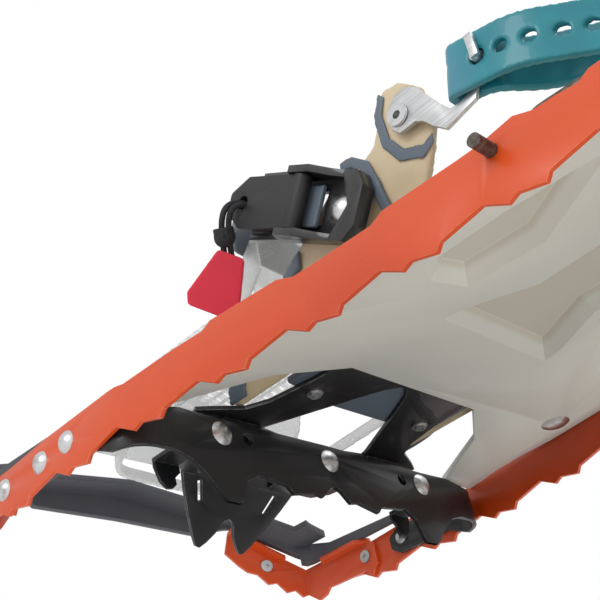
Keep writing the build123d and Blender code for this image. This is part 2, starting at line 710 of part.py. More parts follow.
def buckle_body():
    half = buckle_half_width
    seat_outline = [(-12, -7), (-8, -half), (42, -half + 1.5), (42, half - 1.5), (-8, half), (-12, 7)]
    body = rounded_sheet(seat_outline, 3.0, 0, 2.6)
    body -= Pos(9, 0, 0) * Box(5, 12, 20)
    body -= Pos(30, 0, 0) * Box(12, 10, 20)
    low_side = [(-7, 2.5), (3, 7.5), (9, 12.2), (19, 12.2), (22, 7.0), (38, 6.4), (42, 2.5)]
    cheek = extrude(Plane.XZ * make_face(Polyline(*low_side, close=True)), amount=cheek_gauge)
    body += Pos(0, -half + cheek_gauge, 0) * cheek
    body += Pos(0, half, 0) * cheek
    body += rounded_sheet([(-12, -7), (-8, -half), (-1, -half), (-7, 0), (-1, half), (-8, half), (-12, 7)],
                          1.2, 2.4, 3.4)
    body -= Pos(lever_pin_ahead, 0, lever_pin_out) * Rot(90, 0, 0) * Cylinder(lever_pin_r, 60)
    body -= Cylinder(rivet_r, 20)
    return body


def buckle_pin():
    return Pos(lever_pin_ahead, 0, lever_pin_out) * Rot(90, 0, 0) * Cylinder(
        lever_pin_r - seat, 2 * buckle_half_width)


def buckle_rivet_body():
    grip = 2.6 + buckle_x - wing_face(*buckle_rivet) + wing_gauge + lean_allowance
    return Pos(0, 0, 2.6) * rivet(rivet_r - seat, grip, 4.6, 1.8, 3.0)


def ratchet_lever():
    half = buckle_half_width - cheek_gauge - 0.3
    tip = lever_pin_ahead + lever_length
    outline = [(lever_pin_ahead - 2, -half), (tip - 8, -half), (tip, -3.6), (tip, 3.6), (tip - 8, half),
               (lever_pin_ahead - 2, half)]
    low = lever_pin_out - lever_gauge / 2 + 0.6
    lever = rounded_sheet(outline, 1.8, low, lever_gauge)
    lever += Pos(lever_pin_ahead, 0, lever_pin_out) * Rot(90, 0, 0) * Cylinder(3.1, 2 * half)
    lever -= Pos(lever_pin_ahead, 0, lever_pin_out) * Rot(90, 0, 0) * Cylinder(lever_pin_r + running, 60)
    lever -= Pos(lever_hole_ahead, 0, 0) * Cylinder(2.5, 60)
    return lever


lever_hole_ahead = lever_pin_ahead + lever_length - 7.5


# Lanyard and pull tab of the ratchet lever --------------------------------------------------------

tab_top = Vector(-74.6, -38.0, 49.0)
tab_across = Vector(0.758, -0.466, -0.456)
tab_outward = Vector(0.652, 0.540, 0.533)


def lanyard_points(way):
    # One strand: out through the lever's hole, down to the pull tab
    beside_hole = Vector(0, 0.61, 0.79) * (1.25 * way)
    beside_tab = tab_across * (-1.4 * way)
    ends = [Vector(-70.8, -49.5, 63.6) + beside_hole, Vector(-80.5, -49.5, 63.6) + beside_hole]
    ends += [Vector(-81.0, -42.0, 58.5) + beside_tab, Vector(-74.6, -36.3, 47.3) + beside_tab]
    return ends


def corner_radii(points, most):
    radii = []
    for a, b, c in zip(points, points[1:], points[2:]):
        half_turn = math.radians((b - a).get_angle(c - b)) / 2
        radii.append(round(min(most, 0.45 * min((b - a).length, (c - b).length) / math.tan(half_turn)), 2))
    return radii


def tube(points, radius, most):
    # Round section swept along straight runs joined by tangent arcs
    radii = corner_radii(points, most)
    path = FilletPolyline(*points, radius=radii)
    start = Plane(origin=path @ 0, z_dir=path % 0)
    body = sweep(start * Circle(radius), path=path)
    print("tube", "radii", radii, "length", round(path.length, 2), "volume", round(body.volume, 1),
          "section x length", round(math.pi * radius ** 2 * path.length, 1))
    return body


def lanyard(way, radius=cord_r):
    return tube(lanyard_points(way), radius, 3.0)


def lanyard_knot():
    upper, lower = Vector(-81.0, -42.0, 58.5), Vector(-74.6, -36.3, 47.3)
    along = (lower - upper).normalized()
    seat_point = upper + along * 4.6
    knot = Plane(origin=seat_point, z_dir=along) * Cylinder(3.7, 4.6)
    knot += Plane(origin=seat_point + along * 1.2, z_dir=along) * Sphere(3.9)
    return knot - lanyard(1, cord_r + 0.05) - lanyard(-1, cord_r + 0.05)


def pull_tab():
    frame = Plane(origin=tab_top, x_dir=tab_across, z_dir=tab_outward)
    outline = [(-4.9, 0), (4.9, 0), (9.8, 18), (8, 22), (-8, 22), (-9.8, 18)]
    tab = frame * rounded_sheet(outline, 1.8, -2.75, 5.5)
    recess = [(-3.6, 5.5), (3.6, 5.5), (6.6, 17.5), (-6.6, 17.5)]
    tab -= frame * rounded_sheet(recess, 1.0, 1.35, 3)
    return tab - lanyard(1, cord_r + 0.05) - lanyard(-1, cord_r + 0.05)


# Heel strap ---------------------------------------------------------------------------------------

plate_near = 1.2                # wing to hook plate, over the low rim
tongue_clear = 0.4


def hook_outline():
    # (y, z) from the pivot: the lug round the rivet, the arm back to the strap, the tongue's foot
    spots = [(-0.8, 8.6), (-5.2, 9.0), (-9.0, 5.9), (-15.3, -6.2), (-18.4, -11.2), (-22.0, -11.4)]
    spots += [(-26.0, -10.6), (-27.6, -4.0), (-29.5, 1.5), (-37.5, 1.5), (-38.0, -6.5), (-30.5, -8.5), (-27.8, -14.3), (-14.9, -17.0)]
    spots += [(-10.8, -12.6), (-7.8, -8.2), (-5.2, -6.5), (1.4, -6.4), (3.8, -3.4), (5.0, 1.4), (3.5, 5.4)]
    y, z = hook_rivet
    return [(y + across, z + up) for across, up in spots]


def plate_x():
    return wing_face(hook_rivet[0], hook_rivet[1] + 10) + plate_near


def strap_hook():
    # Left side: plate on the pivot, tongue inside the strap's loop, tip brought out through a hole
    near = plate_x()
    hook = side_sheet(hook_outline(), -near - hook_gauge, hook_gauge)
    hook -= rod_x(-120, 0, *hook_rivet, hook_rivet_r)
    return hook


def strap_post():
    y, z = post_spot
    inner = plate_x() + hook_gauge
    outer = inner + 2 * tongue_clear + strap_gauge
    post = rod_x(-outer - 0.5, -inner, y, z, 1.9)
    blade = Pos(-outer - 1.2, y - 0.6, z + 2.8) * Box(1.6, 2.8, 9.0)
    return post + blade


def strap_anchor():
    hook = side_sheet(hook_outline(), plate_x(), hook_gauge)
    hook -= rod_x(0, 120, *hook_rivet, hook_rivet_r)
    return hook - rod_x(0, 120, *post_spot, rivet_r)


def anchor_rivet():
    face = plate_x() + hook_gauge + tongue_clear + strap_gauge
    return Pos(face, *post_spot) * Rot(0, 90, 0) * rivet(
        rivet_r - seat, hook_gauge + tongue_clear + strap_gauge, 4.4, 1.8, 3.0)


def strap_plane():
    lean = math.radians(strap_tilt)
    return Plane(origin=(0, *strap_bend), x_dir=(1, 0, 0), z_dir=(0, -math.sin(lean), math.cos(lean)))


def strap_points():
    inner = plate_x() - tongue_clear - strap_gauge / 2
    outer = plate_x() + hook_gauge + tongue_clear + strap_gauge / 2
    points = [(-38, -60), (-53, -24), (-inner, -13), (-inner, 0), (-outer, 0), (-outer, -25), (-53, -54),
              (-27, -80), (27, -80), (54, -52), (outer, -20), (outer, -2)]
    bend = (outer - inner) / 2
    radii = [30, 12, bend - 0.02, bend - 0.02, 30, 30, 24, 24, 30, 20]
    return points, radii


def heel_strap():
    points, radii = strap_points()
    path = FilletPolyline(*points, radius=radii)
    band = trace(path, strap_gauge)
    strap = strap_plane() * extrude(band, amount=strap_width / 2, both=True)
    for y, cut_to in strap_holes:
        strap -= rod_x(-90, cut_to, y, strap_middle_z(y), strap_hole_r)
    strap -= rod_x(-plate_x() - 12, -plate_x() - hook_gauge - tongue_clear + 0.05, *post_spot, 2.7)
    strap -= rod_y(-140, -120, -plate_x() - hook_gauge / 2, strap_middle_z(-130), 2.6)
    return strap - rod_x(30, 120, *post_spot, rivet_r)


def strap_middle_z(y):
    return strap_bend[1] + (y - strap_bend[0]) * math.tan(math.radians(strap_tilt))


# Heel lifter --------------------------------------------------------------------------------------

def lifter_points():
    out = rail_x(lifter_y) + lifter_stick_out
    back = lifter_y - lifter_reach
    right = [(out, lifter_y, lifter_z), (lifter_bend_x, lifter_y, lifter_z), (lifter_bend_x - 1, lifter_y - 11, 18.4),
             (lifter_bend_x - 5, back, lifter_rest_z)]
    left = [(-x, y, z) for x, y, z in reversed(right)]
    return [Vector(*point) for point in right + left]


def lifter_bail():
    return tube(lifter_points(), lifter_wire_r, 7.0)


def lifter_sleeve():
    back = lifter_y - lifter_reach
    return rod_x(-46, 46, back, lifter_rest_z, sleeve_r) - rod_x(-50, 50, back, lifter_rest_z, lifter_wire_r)


# Everything, one file a piece ---------------------------------------------------------------------

def in_buckle(shape):
    return buckle_frame_plane() * shape


both_sides(side_rail(), "rail")
both_sides(nose_rail(), "nose_rail")
save(nose_bumper(), "nose_bumper")
save(deck(), "deck")
save(front_crossmember(), "front_crossmember")
save(rear_crossmember(), "rear_crossmember")
save(Compound(children=[side_rivets(rail_rivet_places[:2], rail_gauge + crossmember_gauge + 0.07, 4.2),
                        side_rivets(rail_rivet_places[2:], 2 * rail_gauge + 0.07, 4.2)]), "rail_rivets")
save(side_rivets([(y, 0) for y in rear_rivet_y], rail_gauge + crossmember_gauge + 0.5, 3.8), "rear_rivets")
save(deck_rivets(), "deck_rivets")
save(nose_rivets(), "nose_rivets")
save(crossmember_rivets(), "crossmember_rivets")
save(axle(), "axle")
save(centre_clamp(), "centre_clamp")
both_sides(hook_bracket(), "hook_bracket")
save(binding_plate(), "binding_plate")
save(toe_crampon(), "toe_crampon")
save(eyelets(), "eyelets")
save(crampon_rivets(), "crampon_rivets")
save(harness_sole(), "harness_sole")
save(wing(1), "wing_right")
save(wing(-1), "wing_left")
save(wing_ribs(), "wing_ribs")
save(wing_rivets(), "wing_rivets")
save(toe_hoop(), "toe_hoop")
save(forefoot_wrap(), "forefoot_wrap")
save(ladder_strap(), "ladder_strap")
save(ladder_rivet(), "ladder_rivet")
save(in_buckle(buckle_body()), "buckle_body")
save(in_buckle(buckle_pin()), "buckle_pin")
save(in_buckle(buckle_rivet_body()), "buckle_rivet")
save(in_buckle(ratchet_lever()), "ratchet_lever")
save(lanyard(1), "lanyard_upper")
save(lanyard(-1), "lanyard_lower")
save(lanyard_knot(), "lanyard_knot")
save(pull_tab(), "pull_tab")
save(strap_hook(), "strap_hook")
save(strap_post(), "strap_post")
save(strap_anchor(), "strap_anchor")
save(anchor_rivet(), "anchor_rivet")
save(heel_strap(), "heel_strap")
save(lifter_bail(), "lifter_bail")
save(lifter_sleeve(), "lifter_sleeve")
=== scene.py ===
import bpy
import bmesh
import json
import math
from mathutils import Matrix, Vector


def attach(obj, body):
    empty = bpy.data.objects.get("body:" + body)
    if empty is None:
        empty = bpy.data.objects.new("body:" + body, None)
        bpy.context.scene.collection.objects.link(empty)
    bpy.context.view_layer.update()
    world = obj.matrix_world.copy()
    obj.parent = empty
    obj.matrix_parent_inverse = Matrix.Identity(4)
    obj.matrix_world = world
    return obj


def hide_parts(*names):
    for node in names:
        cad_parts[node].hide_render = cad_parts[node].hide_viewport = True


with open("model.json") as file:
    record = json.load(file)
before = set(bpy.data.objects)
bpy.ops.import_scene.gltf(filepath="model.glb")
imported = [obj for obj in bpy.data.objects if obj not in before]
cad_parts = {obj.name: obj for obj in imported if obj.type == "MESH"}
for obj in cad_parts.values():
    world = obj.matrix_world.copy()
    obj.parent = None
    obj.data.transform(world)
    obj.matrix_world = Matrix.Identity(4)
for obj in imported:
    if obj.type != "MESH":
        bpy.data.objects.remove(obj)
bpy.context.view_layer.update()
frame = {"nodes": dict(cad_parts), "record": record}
cadNodes = frame["nodes"]
print("frame loaded:", len(cadNodes), "nodes")


# The camera stands below the rail beside the toe and looks up along the deck
cameraLook = {
    "place": (-0.3110, -0.1165, -0.1529),
    "right": (0.7079, -0.6848, -0.1727),
    "down": (0.2718, 0.4898, -0.8284),
    "ahead": (0.6519, 0.5395, 0.5329),
    "lens": 67.3,
    "sensor": 36.0,
    "nearest": 0.01,
    "furthest": 50.0,
}


def makeCamera():
    look = cameraLook
    data = bpy.data.cameras.new("studioCamera")
    data.lens = look["lens"]
    data.sensor_width = look["sensor"]
    data.clip_start = look["nearest"]
    data.clip_end = look["furthest"]
    camera = bpy.data.objects.new("studioCamera", data)
    bpy.context.scene.collection.objects.link(camera)
    turn = Matrix((look["right"], -Vector(look["down"]), -Vector(look["ahead"]))).transposed().to_4x4()
    camera.matrix_world = Matrix.Translation(look["place"]) @ turn
    bpy.context.scene.camera = camera


makeCamera()
print("camera set")


class Value:
    # One socket of a node; + - * / on it add Math nodes
    def __init__(self, nodes, socket):
        self.nodes = nodes
        self.socket = socket

    def math(self, operation, *values):
        return self.nodes.node("ShaderNodeMath", {"operation": operation}, dict(enumerate(values)))[0]

    def __add__(self, other):
        return self.math("ADD", self, other)

    def __radd__(self, other):
        return self.math("ADD", other, self)

    def __sub__(self, other):
        return self.math("SUBTRACT", self, other)

    def __rsub__(self, other):
        return self.math("SUBTRACT", other, self)

    def __mul__(self, other):
        return self.math("MULTIPLY", self, other)

    def __rmul__(self, other):
        return self.math("MULTIPLY", other, self)

    def __truediv__(self, other):
        return self.math("DIVIDE", self, other)

    def __rtruediv__(self, other):
        return self.math("DIVIDE", other, self)


class Outputs:
    # A new node's outputs, by name or number
    def __init__(self, nodes, made):
        self.nodes = nodes
        self.made = made

    def __getitem__(self, key):
        return Value(self.nodes, self.made.outputs[key])


class Nodes:
    # A node tree, and the one way that a node is added to it
    def __init__(self, tree):
        self.tree = tree

    def there(self, kind):
        return next(node for node in self.tree.nodes if node.type == kind)

    def node(self, kind, settings=None, inputs=None):
        made = self.tree.nodes.new(kind)
        for key, amount in (settings or {}).items():
            setattr(made, key, amount)
        for key, amount in (inputs or {}).items():
            self.plug(made.inputs[key], amount)
        return Outputs(self, made)

    def plug(self, socket, amount):
        if isinstance(amount, Value):
            self.tree.links.new(amount.socket, socket)
        elif socket.type == "RGBA":
            socket.default_value = (*amount, 1)
        else:
            socket.default_value = amount


class Shader(Nodes):
    # A material's nodes, with a Principled surface in place
    def __init__(self, name, **plain):
        self.material = bpy.data.materials.new(name)
        self.material.use_nodes = True
        super().__init__(self.material.node_tree)
        self.surface = self.there("BSDF_PRINCIPLED")
        for socketName, amount in plain.items():
            self.set(socketName.replace("_", " "), amount)

    def set(self, name, amount):
        self.plug(self.surface.inputs[name], amount)

    def place(self):
        return self.node("ShaderNodeTexCoord")["Object"]

    def noise(self, scale, detail=3.0, rough=0.55, stretch=None):
        spot = self.place()
        if stretch:
            spot = self.node("ShaderNodeVectorMath", {"operation": "MULTIPLY"}, {0: spot, 1: stretch})[0]
        return self.node("ShaderNodeTexNoise", {}, {"Vector": spot, "Scale": scale, "Detail": detail,
                                                    "Roughness": rough})[0]

    def band(self, value, low, high):
        # 0 below low, 1 above high, smooth between
        return self.node("ShaderNodeMapRange", {"interpolation_type": "SMOOTHSTEP"}, {
            "Value": value, "From Min": low, "From Max": high})[0]

    def wave(self, value, pitch, openShare, blur):
        # 1 in the middle part of every pitch, 0 between
        spot = value.math("FRACT", value / pitch)
        away = spot.math("ABSOLUTE", spot - 0.5)
        return 1 - self.band(away, openShare - blur, openShare + blur)

    def mix(self, share, one, other):
        return self.node("ShaderNodeMix", {"data_type": "RGBA"}, {0: share, 6: one, 7: other})[2]

    def bump(self, height, strength, distance=0.0002):
        made = self.node("ShaderNodeBump", {}, {"Height": height, "Strength": strength, "Distance": distance})
        self.set("Normal", made["Normal"])


def paint(hexColour):
    parts = [int(hexColour[i:i + 2], 16) / 255 for i in (1, 3, 5)]
    return tuple(c / 12.92 if c <= 0.04045 else ((c + 0.055) / 1.055) ** 2.4 for c in parts)


def mottled(s, share, one, other):
    # Two colours, mixed by share
    s.set("Base Color", s.mix(share, paint(one), paint(other)))


def railPaint():
    look = {"main": "#CC4708", "deep": "#BC3B07", "light": "#D85416", "cloud": 9.0, "speckle": 900.0,
            "speckleShare": 0.35, "rough": 0.3, "coat": 0.25, "bump": 0.12}
    s = Shader("railPaint", Coat_Weight=look["coat"], Coat_Roughness=0.25)
    broad = s.noise(look["cloud"])
    fine = s.noise(look["speckle"], 2.0)
    colour = s.mix(s.band(broad, 0.35, 0.7), paint(look["main"]), paint(look["deep"]))
    speckle = s.band(fine, 0.62, 0.8) * look["speckleShare"]
    s.set("Base Color", s.mix(speckle, colour, paint(look["light"])))
    s.set("Roughness", look["rough"] + 0.16 * broad + 0.06 * fine)
    s.bump(fine, look["bump"])
    return s.material


def bumperPlastic():
    look = {"main": "#3A3B40", "light": "#47484E", "cloud": 14.0, "grain": 1400.0, "rough": 0.44, "bump": 0.3}
    s = Shader("bumperPlastic")
    grain = s.noise(look["grain"], 2.0)
    mottled(s, s.noise(look["cloud"]), look["main"], look["light"])
    s.set("Roughness", look["rough"] + 0.18 * grain)
    s.bump(grain, look["bump"], 0.00025)
    return s.material


def deckPlastic():
    # Pale moulded sheet; the raised panels get a brownish painted shade
    look = {"pale": "#D8D9D1", "grey": "#CDCEC6", "panel": "#B9AF9C", "panelShare": 0.5, "panelLow": 0.0371,
            "panelHigh": 0.0392, "cloud": 7.0, "grain": 1100.0, "rough": 0.4, "coat": 0.12, "bump": 0.18}
    s = Shader("deckPlastic", Coat_Weight=look["coat"])
    broad = s.noise(look["cloud"])
    grain = s.noise(look["grain"], 2.0)
    height = s.node("ShaderNodeSeparateXYZ", {}, {0: s.place()})["Z"]
    base = s.mix(s.band(broad, 0.3, 0.7), paint(look["pale"]), paint(look["grey"]))
    raised = s.band(height, look["panelLow"], look["panelHigh"])
    # Painted shade: the raised panels are mixed towards a browner colour
    s.set("Base Color", s.mix(raised * look["panelShare"], base, paint(look["panel"])))
    s.set("Roughness", look["rough"] + 0.14 * grain + 0.05 * raised)
    s.bump(grain, look["bump"])
    return s.material


def blackSteel():
    look = {"main": "#101113", "light": "#1B1C1F", "cloud": 18.0, "grain": 1200.0, "metal": 0.15,
            "rough": 0.33, "coat": 0.15, "bump": 0.16}
    s = Shader("blackSteel", Metallic=look["metal"], Coat_Weight=look["coat"])
    grain = s.noise(look["grain"], 2.0)
    mottled(s, s.band(s.noise(look["cloud"]), 0.35, 0.7), look["main"], look["light"])
    s.set("Roughness", look["rough"] + 0.2 * grain)
    s.bump(grain, look["bump"])
    return s.material


def rivetSteel():
    look = {"bright": "#CFD0D1", "stained": "#8E8A84", "grain": 1500.0, "stain": 160.0, "metal": 0.95,
            "rough": 0.2, "bump": 0.15}
    s = Shader("rivetSteel", Metallic=look["metal"])
    grain = s.noise(look["grain"])
    mottled(s, s.band(s.noise(look["stain"]), 0.45, 0.75), look["bright"], look["stained"])
    s.set("Roughness", look["rough"] + 0.25 * grain)
    s.bump(grain, look["bump"], 0.00015)
    return s.material


def stainlessSheet():
    look = {"bright": "#DADBDC", "grey": "#B9BABB", "brush": 220.0, "brushStretch": (1.0, 0.18, 6.0),
            "pits": 1600.0, "metal": 0.9, "rough": 0.26, "bump": 0.12}
    s = Shader("stainlessSheet", Metallic=look["metal"])
    brushed = s.noise(look["brush"], 4.0, 0.6, look["brushStretch"])
    pits = s.noise(look["pits"], 2.0)
    mottled(s, s.band(brushed, 0.3, 0.75), look["bright"], look["grey"])
    s.set("Roughness", look["rough"] + 0.22 * brushed)
    s.bump(brushed * 0.7 + pits * 0.3, look["bump"], 0.00015)
    return s.material


def darkWire():
    look = {"dark": "#4B433E", "light": "#6B625B", "grain": 700.0, "metal": 0.7, "rough": 0.35, "bump": 0.15}
    s = Shader("darkWire", Metallic=look["metal"])
    grain = s.noise(look["grain"])
    mottled(s, s.band(grain, 0.35, 0.7), look["dark"], look["light"])
    s.set("Roughness", look["rough"] + 0.2 * grain)
    s.bump(grain, look["bump"])
    return s.material


def softRubber(name, main, deep):
    look = {"cloud": 22.0, "grain": 1600.0, "rough": 0.5, "coat": 0.08, "soft": 0.06, "bump": 0.16}
    s = Shader(name, Coat_Weight=look["coat"], Subsurface_Weight=look["soft"], Subsurface_Scale=0.003)
    grain = s.noise(look["grain"], 2.0)
    mottled(s, s.band(s.noise(look["cloud"]), 0.3, 0.72), main, deep)
    s.set("Roughness", look["rough"] + 0.15 * grain)
    s.bump(grain, look["bump"])
    return s.material


def tealStrap():
    # Greyer towards the bend at the hook
    look = {"main": "#148C99", "deep": "#0F7683", "bend": "#4E7F97", "bendShare": 0.55, "bendNear": 0.006,
            "bendFar": -0.006, "cloud": 30.0, "grain": 1300.0, "rough": 0.32, "coat": 0.2, "soft": 0.12,
            "bump": 0.12}
    s = Shader("tealStrap", Coat_Weight=look["coat"], Subsurface_Weight=look["soft"], Subsurface_Scale=0.004)
    broad = s.noise(look["cloud"])
    grain = s.noise(look["grain"], 2.0)
    along = s.node("ShaderNodeSeparateXYZ", {}, {0: s.place()})["Y"]
    base = s.mix(s.band(broad, 0.3, 0.7), paint(look["main"]), paint(look["deep"]))
    bend = s.band(along, look["bendFar"], look["bendNear"])
    s.set("Base Color", s.mix(bend * look["bendShare"], base, paint(look["bend"])))
    s.set("Roughness", look["rough"] + 0.16 * grain)
    s.bump(grain, look["bump"])
    return s.material


def openings(s):
    # 1 inside the rows of small rectangular openings of the wrap, 0 on its plain rim
    look = {"pitch": 0.0062, "alongPitch": 0.0052, "open": 0.3, "blur": 0.03, "lowest": 0.0865,
            "first": 0.141, "last": 0.221, "rim": 0.0003}
    spot = s.node("ShaderNodeSeparateXYZ", {}, {0: s.place()})
    aroundArch = spot["X"].math("ABSOLUTE", spot["X"]) - spot["Z"]
    across = s.wave(aroundArch, look["pitch"], look["open"], look["blur"])
    along = s.wave(spot["Y"], look["alongPitch"], look["open"], look["blur"])
    inside = s.band(spot["Z"], look["lowest"], look["lowest"] + look["rim"])
    inside = inside * s.band(spot["Y"], look["first"], look["first"] + look["rim"])
    inside = inside * (1 - s.band(spot["Y"], look["last"], look["last"] + look["rim"]))
    return across * along * inside


def clearSheet(name, perforated):
    # Milky see-through plastic, denser where it is seen at a slant
    look = {"pale": "#DDE0DF", "grey": "#C6CAC9", "cloud": 40.0, "grain": 900.0, "rough": 0.16, "clear": 0.35,
            "thin": 0.42, "slant": 0.45, "openShare": 0.85, "bump": 0.1}
    s = Shader(name, Transmission_Weight=look["clear"], IOR=1.45)
    grain = s.noise(look["grain"], 2.0)
    mottled(s, s.noise(look["cloud"]), look["pale"], look["grey"])
    s.set("Roughness", look["rough"] + 0.16 * grain)
    facing = s.node("ShaderNodeLayerWeight", {}, {"Blend": 0.35})["Facing"]
    body = look["thin"] + look["slant"] * facing
    if perforated:
        body = body * (1 - look["openShare"] * openings(s))
    s.set("Alpha", body)
    s.bump(grain, look["bump"])
    return s.material


def buckleGloss():
    look = {"dark": "#0F0F11", "light": "#1D1D20", "grain": 900.0, "scuff": 70.0, "rough": 0.2, "coat": 0.35,
            "bump": 0.08}
    s = Shader("buckleGloss", Coat_Weight=look["coat"], Coat_Roughness=0.12)
    grain = s.noise(look["grain"], 2.0)
    scuff = s.noise(look["scuff"])
    mottled(s, scuff, look["dark"], look["light"])
    s.set("Roughness", look["rough"] + 0.14 * grain + 0.1 * scuff)
    s.bump(grain, look["bump"])
    return s.material


def leverMatte():
    look = {"dark": "#131315", "light": "#232327", "grain": 1500.0, "rough": 0.46, "bump": 0.22}
    s = Shader("leverMatte")
    grain = s.noise(look["grain"], 2.0)
    mottled(s, grain, look["dark"], look["light"])
    s.set("Roughness", look["rough"] + 0.18 * grain)
    s.bump(grain, look["bump"], 0.00025)
    return s.material


def tabRubber():
    look = {"main": "#DB2440", "deep": "#C41834", "cloud": 60.0, "grain": 1500.0, "rough": 0.42, "soft": 0.1,
            "bump": 0.18}
    s = Shader("tabRubber", Subsurface_Weight=look["soft"], Subsurface_Scale=0.003)
    grain = s.noise(look["grain"], 2.0)
    mottled(s, s.noise(look["cloud"]), look["main"], look["deep"])
    s.set("Roughness", look["rough"] + 0.16 * grain)
    s.bump(grain, look["bump"])
    return s.material


def braidedCord():
    look = {"dark": "#101012", "light": "#34343A", "weave": 900.0, "fuzz": 2200.0, "rough": 0.7, "bump": 0.7}
    s = Shader("braidedCord")
    weave = s.node("ShaderNodeTexWave", {"wave_type": "BANDS", "bands_direction": "DIAGONAL"}, {
        "Vector": s.place(), "Scale": look["weave"], "Distortion": 2.0})[1]
    fuzz = s.noise(look["fuzz"], 2.0)
    mottled(s, weave * 0.6, look["dark"], look["light"])
    s.set("Roughness", look["rough"] + 0.2 * fuzz)
    s.bump(weave * 0.7 + fuzz * 0.3, look["bump"], 0.0003)
    return s.material


# Painted highlights: lighter strips along eased edges, on the rails partly also the bare cut edge
edgeHighlightLooks = {
    "railEdge": {"one": "#F2A27A", "other": "#E0662A", "grain": 260.0, "spread": (0.45, 0.62), "rough": 0.3,
                 "roughMore": 0.2, "metal": 0.0},
    "bumperEdge": {"one": "#5A5C62", "other": "#74767C", "grain": 700.0, "spread": None, "rough": 0.38,
                   "roughMore": 0.15, "metal": 0.0},
    "deckEdge": {"one": "#DEDDD4", "other": "#CFCDC2", "grain": 500.0, "spread": None, "rough": 0.36,
                 "roughMore": 0.12, "metal": 0.0},
    "steelEdge": {"one": "#77797E", "other": "#3A3B40", "grain": 420.0, "spread": (0.35, 0.65), "rough": 0.28,
                  "roughMore": 0.25, "metal": 0.6},
    "stainlessEdge": {"one": "#7C7468", "other": "#E8E4DC", "grain": 600.0, "spread": None, "rough": 0.22,
                      "roughMore": 0.2, "metal": 0.9},
}


def edgeHighlightFinish(name):
    look = edgeHighlightLooks[name]
    s = Shader(name, Metallic=look["metal"])
    # The painted edge highlight is mottled by noise between its two colours
    highlightMottle = s.noise(look["grain"])
    share = s.band(highlightMottle, *look["spread"]) if look["spread"] else highlightMottle
    mottled(s, share, look["one"], look["other"])
    s.set("Roughness", look["rough"] + look["roughMore"] * highlightMottle)
    return s.material


finishes = {
    "rail_paint": railPaint(), "bumper_plastic": bumperPlastic(), "deck_plastic": deckPlastic(),
    "black_steel": blackSteel(), "rivet_steel": rivetSteel(), "stainless": stainlessSheet(),
    "dark_wire": darkWire(),
    "slate_tpu": softRubber("slateRubber", "#596571", "#4B5763"),
    "sand_tpu": softRubber("sandRubber", "#C6B698", "#B3A283"),
    "teal_tpu": tealStrap(), "clear_tpu": clearSheet("clearHoop", False),
    "clearWrap": clearSheet("clearWrap", True), "buckle_plastic": buckleGloss(),
    "leverMatte": leverMatte(), "pull_tab_rubber": tabRubber(), "cord": braidedCord(),
    **{name: edgeHighlightFinish(name) for name in edgeHighlightLooks},
}
print("finishes made:", len(finishes))


recordSlots = {row["node"]: row["material_slot"] for row in frame["record"]["subparts"]}
bodyOf = {node: body for body, nodes in frame["record"]["behaviour"]["bodies"].items() for node in nodes}


def pieceName(node):
    words = node.split("_")
    return words[0] + "".join(word.capitalize() for word in words[1:])


def copyOf(node, weld=0.00001, flat=0.7):
    # A copy of a node's surface to work on: points nearer than weld joined, faces within flat degrees merged
    mesh = cadNodes[node].data.copy()
    mesh.name = pieceName(node)
    work = bmesh.new()
    work.from_mesh(mesh)
    bmesh.ops.remove_doubles(work, verts=work.verts, dist=weld)
    bmesh.ops.dissolve_limit(work, angle_limit=math.radians(flat), verts=work.verts, edges=work.edges)
    work.to_mesh(mesh)
    work.free()
    mesh.materials.clear()
    if "custom_normal" in mesh.attributes:
        mesh.attributes.remove(mesh.attributes["custom_normal"])
    piece = bpy.data.objects.new(pieceName(node), mesh)
    bpy.context.scene.collection.objects.link(piece)
    return piece


def settle(piece):
    # Modifiers worked into the mesh
    bpy.context.view_layer.update()
    graph = bpy.context.evaluated_depsgraph_get()
    made = bpy.data.meshes.new_from_object(piece.evaluated_get(graph))
    piece.modifiers.clear()
    piece.data = made


def handOver(piece, node):
    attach(piece, bodyOf[node])
    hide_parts(node)


# Width of the eased edge in metres, the finish, and the painted highlight finish of the edge where it has its
# own
edgedLooks = {
    "rail_left": (0.00035, "rail_paint", "railEdge"),
    "rail_right": (0.00035, "rail_paint", "railEdge"),
    "nose_rail_left": (0.00035, "rail_paint", "railEdge"),
    "nose_rail_right": (0.00035, "rail_paint", "railEdge"),
    "front_crossmember": (0.00035, "black_steel", "steelEdge"),
    "rear_crossmember": (0.00035, "black_steel", "steelEdge"),
    "toe_crampon": (0.00035, "black_steel", "steelEdge"),
    "binding_plate": (0.00035, "black_steel", "steelEdge"),
    "hook_bracket_left": (0.00035, "black_steel", "steelEdge"),
    "hook_bracket_right": (0.00035, "black_steel", "steelEdge"),
    "centre_clamp": (0.00035, "black_steel", "steelEdge"),
    "nose_bumper": (0.0008, "bumper_plastic", "bumperEdge"),
    "deck": (0.0006, "deck_plastic", "deckEdge"),
    "strap_hook": (0.00025, "stainless", "stainlessEdge"),
    "strap_post": (0.00025, "stainless", "stainlessEdge"),
    "strap_anchor": (0.00025, "stainless", "stainlessEdge"),
    "buckle_body": (0.0005, "buckle_plastic", None),
    "ratchet_lever": (0.0004, "leverMatte", None),
}
easing = {"steps": 2, "cornerDegrees": 28.0, "sharpDegrees": 35.0}


def edged(node):
    # Sheet metal or a hard moulding with its edges eased
    width, main, edge = edgedLooks[node]
    piece = copyOf(node)
    piece.data.materials.append(finishes[main])
    if edge:
        piece.data.materials.append(finishes[edge])
    ease = piece.modifiers.new("easedEdges", "BEVEL")
    ease.limit_method = "ANGLE"
    ease.angle_limit = math.radians(easing["cornerDegrees"])
    ease.width = width
    ease.segments = easing["steps"]
    # The eased edge faces take the painted highlight finish
    ease.material = 1 if edge else -1
    ease.use_clamp_overlap = True
    settle(piece)
    for face in piece.data.polygons:
        face.use_smooth = True
    piece.data.set_sharp_from_angle(angle=math.radians(easing["sharpDegrees"]))
    handOver(piece, node)


for node in edgedLooks:
    edged(node)
print("sheet metal and mouldings done")

